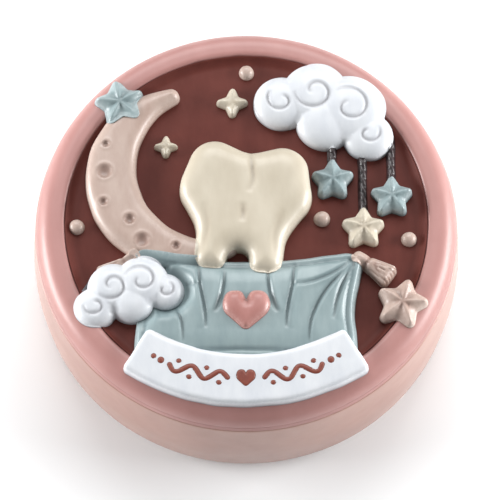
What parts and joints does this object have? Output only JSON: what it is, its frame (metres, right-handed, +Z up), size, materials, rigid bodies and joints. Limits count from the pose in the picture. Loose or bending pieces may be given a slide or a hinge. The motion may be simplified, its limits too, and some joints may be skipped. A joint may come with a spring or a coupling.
{
  "type": "keepsake tooth box",
  "caption": "Round lidded keepsake box for milk teeth, with a bellied cup, a loose lid that lifts off a locating lip, and a raised painted relief and blank banner on the lid.",
  "frame": {"origin": "bottom centre, under the middle of the felt pad that the box stands on", "axes": "+Z up along the box's axis, the banner on the lid towards -Y, +X to the right as the banner is read"},
  "size_m": [0.0696, 0.0696, 0.025],
  "materials": {
    "rose_resin": "satin hand-painted cast resin",
    "brown_panel": "satin hand-painted cast resin",
    "white_resin": "satin hand-painted cast resin",
    "cream_resin": "satin hand-painted cast resin",
    "sage_resin": "satin hand-painted cast resin",
    "beige_resin": "satin hand-painted cast resin",
    "charcoal_resin": "satin hand-painted cast resin",
    "felt": "pressed wool felt"
  },
  "bodies": {
    "base": {"base_cup": "rose_resin", "felt_pad": "felt"},
    "lid": {"lid_shell": "rose_resin", "lid_panel": "brown_panel", "label_banner": "white_resin", "tooth": "cream_resin", "pillow": "sage_resin", "pillow_heart": "rose_resin", "tassel_left": "beige_resin", "tassel_right": "beige_resin", "crescent_moon": "beige_resin", "cloud_left": "white_resin", "cloud_right": "white_resin", "hanger_1": "charcoal_resin", "hanger_2": "charcoal_resin", "hanger_3": "charcoal_resin", "drop_star_1": "sage_resin", "drop_star_2": "cream_resin", "drop_star_3": "sage_resin", "star_left": "sage_resin", "star_right": "beige_resin", "sparkle_large": "cream_resin", "sparkle_small": "cream_resin", "beads": "beige_resin"}
  },
  "joints": [
    {"name": "lid_lift", "type": "slide", "parent": "base", "child": "lid", "axis": [0, 0, 1], "range_m": [0, 0.05]}
  ]
}
